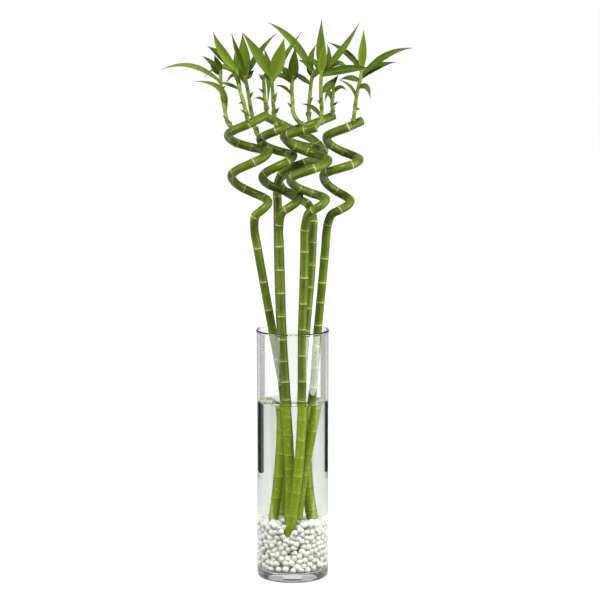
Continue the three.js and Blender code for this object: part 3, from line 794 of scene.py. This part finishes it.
def leaf(root, to, wide, roll, bend=(0, 0), light=0.0, dried=0.0):
    """A leaf from a flat grid, laid along its line, folded along its middle and thickened."""
    small = wide <= BRACT_WIDTH
    bpy.ops.object.select_all(action="DESELECT")
    bpy.ops.mesh.primitive_grid_add(x_subdivisions=4, y_subdivisions=6 if small else 16, size=1)
    piece = bpy.context.object
    mesh = piece.data
    tip = root + Vector(to)
    middle = (root + tip) / 2 + Vector((2 * bend[0], 0, 2 * bend[1]))
    turn = math.radians(roll)
    faces = Vector((0, -math.sin(turn), math.cos(turn)))
    twist = random.uniform(-0.25, 0.25)
    wave = random.uniform(0, 2 * math.pi)
    fold = random.uniform(0.28, 0.42)
    places = []
    for vertex in mesh.vertices:
        across, t = 2 * vertex.co.x, vertex.co.y + 0.5
        at = root * (1 - t) ** 2 + middle * 2 * t * (1 - t) + tip * t * t
        way = ((middle - root) * (1 - t) + (tip - middle) * t).normalized()
        up = (faces - way * way.dot(faces)).normalized()
        up.rotate(Matrix.Rotation(twist * t, 3, way))
        side = way.cross(up)
        half = wide / 2 * width_at(t)
        rise = fold * half * abs(across) ** 1.3
        rise += 0.05 * wide * math.sin(7 * t + wave) * across * abs(across) * (1 - t)
        places.append((at + side * half * across + up * rise) / 1000)
    sheet = mesh.uv_layers.new(name="blade")
    for corner in mesh.loops:
        co = mesh.vertices[corner.vertex_index].co
        sheet.data[corner.index].uv = (co.x + 0.5, co.y + 0.5)
    young = light + random.uniform(-0.08, 0.08)
    mark(piece, "light", [min(1.0, max(0.0, young))] * len(mesh.vertices))
    dryness = []
    for vertex in mesh.vertices:
        dry_tip = vertex.co.y * 1.4 - 0.1 if small else 6 * (vertex.co.y - 0.46)
        dryness.append(min(0.85, max(0.0, dry_tip) + dried))
    mark(piece, "dry", dryness)
    for vertex, spot in zip(mesh.vertices, places):
        vertex.co = spot
    only(piece)
    bpy.ops.object.transform_apply(location=True, rotation=True, scale=True)
    solidify = piece.modifiers.new("thickness", "SOLIDIFY")
    solidify.thickness = LEAF_THICKNESS
    solidify.offset = -1
    solidify.material_offset = 1
    bpy.ops.object.modifier_apply(modifier="thickness")
    mesh.materials.append(leaf_top)
    mesh.materials.append(leaf_under)
    bpy.ops.object.shade_smooth_by_angle(angle=math.radians(60))
    return piece


for key, shoot in SHOOTS.items():
    line = smooth_line([Vector(p) for p in shoot["stem"]], fine=12)
    reach = along(line)
    thick = shoot.get("thick", STEM_FOOT)
    stations, scars = [], []
    for i in range(STEM_JOINTS):
        for share, swell, scar in STEM_JOINT:
            s = reach[-1] * (i + share) / STEM_JOINTS
            taper = 1 + (STEM_TOP / thick - 1) * s / reach[-1]
            stations.append((point_at(line, reach, s) / 1000, taper * swell))
            scars.append(scar)
    stem = rod("stem", stations, thick / 1000, around=2)
    around = len(stem.data.vertices) // len(stations)
    mark(stem, "scar", [scars[i // around] for i in range(len(stem.data.vertices))])
    stem.data.materials.append(stem_skin)
    bpy.ops.object.shade_smooth_by_angle(angle=math.radians(60))
    blades = []
    for i, blade in enumerate(shoot["leaves"]):
        height = min(blade["at"], shoot["stem"][-1][2] - 2.6 - 0.7 * i)
        root = min(line, key=lambda p: abs(p.z - height)).copy()
        root -= INTO_STEM * Vector((blade["to"][0], blade["to"][1], 0)).normalized()
        blades.append(leaf(root, **{k: v for k, v in blade.items() if k != "at"}))
    for _ in range(INNER_LEAVES if len(blades) > 4 else 0):
        root = line[-random.randrange(2, 8)].copy()
        to = (random.uniform(-15, 15), random.uniform(3, 10), random.uniform(12, 22))
        blades.append(leaf(root, to, wide=8, roll=75, light=random.uniform(0, 0.2)))
    for _ in range(DRY_SCALES):
        turn = random.uniform(0, 2 * math.pi)
        out = (random.uniform(3, 5) * math.cos(turn), random.uniform(3, 5) * math.sin(turn))
        root = line[random.randrange(8, 15)].copy()
        blades.append(leaf(root, (*out, random.uniform(1, 6)), wide=BRACT_WIDTH,
                           roll=random.uniform(0, 80), light=0.6, dried=random.uniform(0, 0.7)))
    only(stem)
    for blade in blades:
        blade.select_set(True)
    bpy.ops.object.join()
    stem.name = f"leafy_shoot_{key}"
    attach(stem, "root")
    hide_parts(f"shoot_{key}")

# ---------------------------------------------------------------------------------------------
# Floor, light and camera. None of them is part of the object.
# ---------------------------------------------------------------------------------------------
FLOOR_SIZE = 60
FLOOR_IN_FRONT = 0.2
FLOOR_DROP = 0.0002
bpy.ops.object.select_all(action="DESELECT")
bpy.ops.mesh.primitive_plane_add(
    size=FLOOR_SIZE, location=(0, FLOOR_SIZE / 2 - FLOOR_IN_FRONT, -FLOOR_DROP))
floor = bpy.context.object
floor.name = "white_floor"
bpy.ops.object.transform_apply(location=True, rotation=False, scale=False)
floor.visible_diffuse = False
white_floor, shader, add, link = material("white_floor")
shader.inputs["Base Color"].default_value = (0.5, 0.5, 0.5, 1)
shader.inputs["Roughness"].default_value = 1.0
shader.inputs["Specular IOR Level"].default_value = 0.0
# The floor is white for the camera. For light that comes through glass or off a surface it
# is pale behind the vase and fades to grey to the sides.
from_here = add("ShaderNodeMapping")
from_here.inputs["Location"].default_value = (0, 0.15, 0)
link(add("ShaderNodeTexCoord").outputs["Object"], from_here.inputs["Vector"])
split = add("ShaderNodeSeparateXYZ")
link(from_here.outputs["Vector"], split.inputs[0])
aside = add("ShaderNodeMath")
aside.operation = "ABSOLUTE"
link(split.outputs["X"], aside.inputs[0])
behind = add("ShaderNodeMath")
behind.operation = "DIVIDE"
link(aside.outputs[0], behind.inputs[0])
link(split.outputs["Y"], behind.inputs[1])
fade = add("ShaderNodeValToRGB")
fade.color_ramp.elements[0].color = (0.84, 0.85, 0.83, 1)
fade.color_ramp.elements[1].position = 0.80
fade.color_ramp.elements[1].color = (0.20, 0.20, 0.20, 1)
middle_grey = fade.color_ramp.elements.new(0.12)
middle_grey.color = (0.60, 0.61, 0.58, 1)
link(ranged(add, link, behind.outputs[0], 0, 1.5), fade.inputs["Fac"])
seen = mixed(add, link, add("ShaderNodeLightPath").outputs["Is Camera Ray"], fade.outputs["Color"],
             (0.97, 0.97, 0.97, 1))
link(seen, shader.inputs["Emission Color"])
shader.inputs["Emission Strength"].default_value = 1.0
floor.data.materials.append(white_floor)

# A dim room, which the camera sees as white.
ROOM_LIGHT = 0.06
world = bpy.data.worlds.new("studio")
bpy.context.scene.world = world
world.use_nodes = True
room = world.node_tree.nodes["Background"]
room.inputs["Color"].default_value = (1, 1, 1, 1)
ray = world.node_tree.nodes.new("ShaderNodeLightPath")
room_light = world.node_tree.nodes.new("ShaderNodeMapRange")
room_light.inputs["To Min"].default_value = ROOM_LIGHT
room_light.inputs["To Max"].default_value = 1.0
world.node_tree.links.new(ray.outputs["Is Camera Ray"], room_light.inputs["Value"])
world.node_tree.links.new(room_light.outputs["Result"], room.inputs["Strength"])

# Softboxes: azimuth and distance from the object, middle height, width, height and power.
AIM_HEIGHT = 0.8
for name, azimuth, away, middle, width, tall, power in (
        ("softbox_left", -70, 1.45, 0.80, 1.5, 1.6, 22),
        ("softbox_right", 70, 1.45, 0.80, 1.5, 1.6, 38),
        ("softbox_front", -8, 1.3, 2.0, 0.8, 0.7, 44),
        ("softbox_back", 180, 2.6, 1.5, 3.0, 1.6, 10)):
    turn = math.radians(azimuth)
    at = Vector((away * math.sin(turn), -away * math.cos(turn), middle))
    bpy.ops.object.light_add(type="AREA", location=at)
    lamp = bpy.context.object
    lamp.name = name
    lamp.data.shape = "RECTANGLE"
    lamp.data.size = width
    lamp.data.size_y = tall
    lamp.data.energy = power
    aim = Vector((0, 0, min(middle, AIM_HEIGHT))) - at
    lamp.rotation_euler = aim.to_track_quat("-Z", "Y").to_euler()
    lamp.visible_camera = False

# Cards behind the vase, which show only as dark and grey lines at the edges of its glass and
# water. Azimuth, middle height, width, height and brightness.
CARDS_AWAY = 0.66
for name, azimuth, middle, width, tall, shade in (
        ("card_right", 41, 0.065, 0.30, 0.13, 0.02),
        ("card_left", -48, 0.065, 0.28, 0.13, 0.02),
        ("card_far_right", 20, 0.200, 0.233, 0.142, 0.42),
        ("card_far_left", -20, 0.200, 0.233, 0.142, 0.45)):
    turn = math.radians(azimuth)
    at = (CARDS_AWAY * math.sin(turn), CARDS_AWAY * math.cos(turn), middle)
    bpy.ops.mesh.primitive_plane_add(size=1, location=at, rotation=(math.pi / 2, 0, -turn))
    card = bpy.context.object
    card.name = name
    card.scale = (width, tall, 1)
    bpy.ops.object.transform_apply(location=True, rotation=True, scale=True)
    paint, shader, add, link = material(name)
    shader.inputs["Base Color"].default_value = (0, 0, 0, 1)
    shader.inputs["Specular IOR Level"].default_value = 0.0
    shader.inputs["Emission Color"].default_value = (1, 1, 1, 1)
    shader.inputs["Emission Strength"].default_value = shade
    card.data.materials.append(paint)
    card.visible_camera = False
    card.visible_diffuse = False
    card.visible_shadow = False

# Light crosses many faces of glass and water before it comes out.
bpy.context.scene.cycles.max_bounces = 32
bpy.context.scene.cycles.glossy_bounces = 16
bpy.context.scene.cycles.transmission_bounces = 24

CAMERA_BACK = 3.382
CAMERA_HEIGHT = 0.890
CAMERA_DOWN = 8.40
CAMERA_RIGHT = 0.173
CAMERA_LENS = 148.8
bpy.ops.object.camera_add(location=(0, -CAMERA_BACK, CAMERA_HEIGHT))
camera = bpy.context.object
camera.data.lens = CAMERA_LENS
camera.rotation_euler = (math.radians(90 - CAMERA_DOWN), 0, -math.radians(CAMERA_RIGHT))
bpy.context.scene.camera = camera

bpy.context.scene.view_settings.view_transform = "Standard"
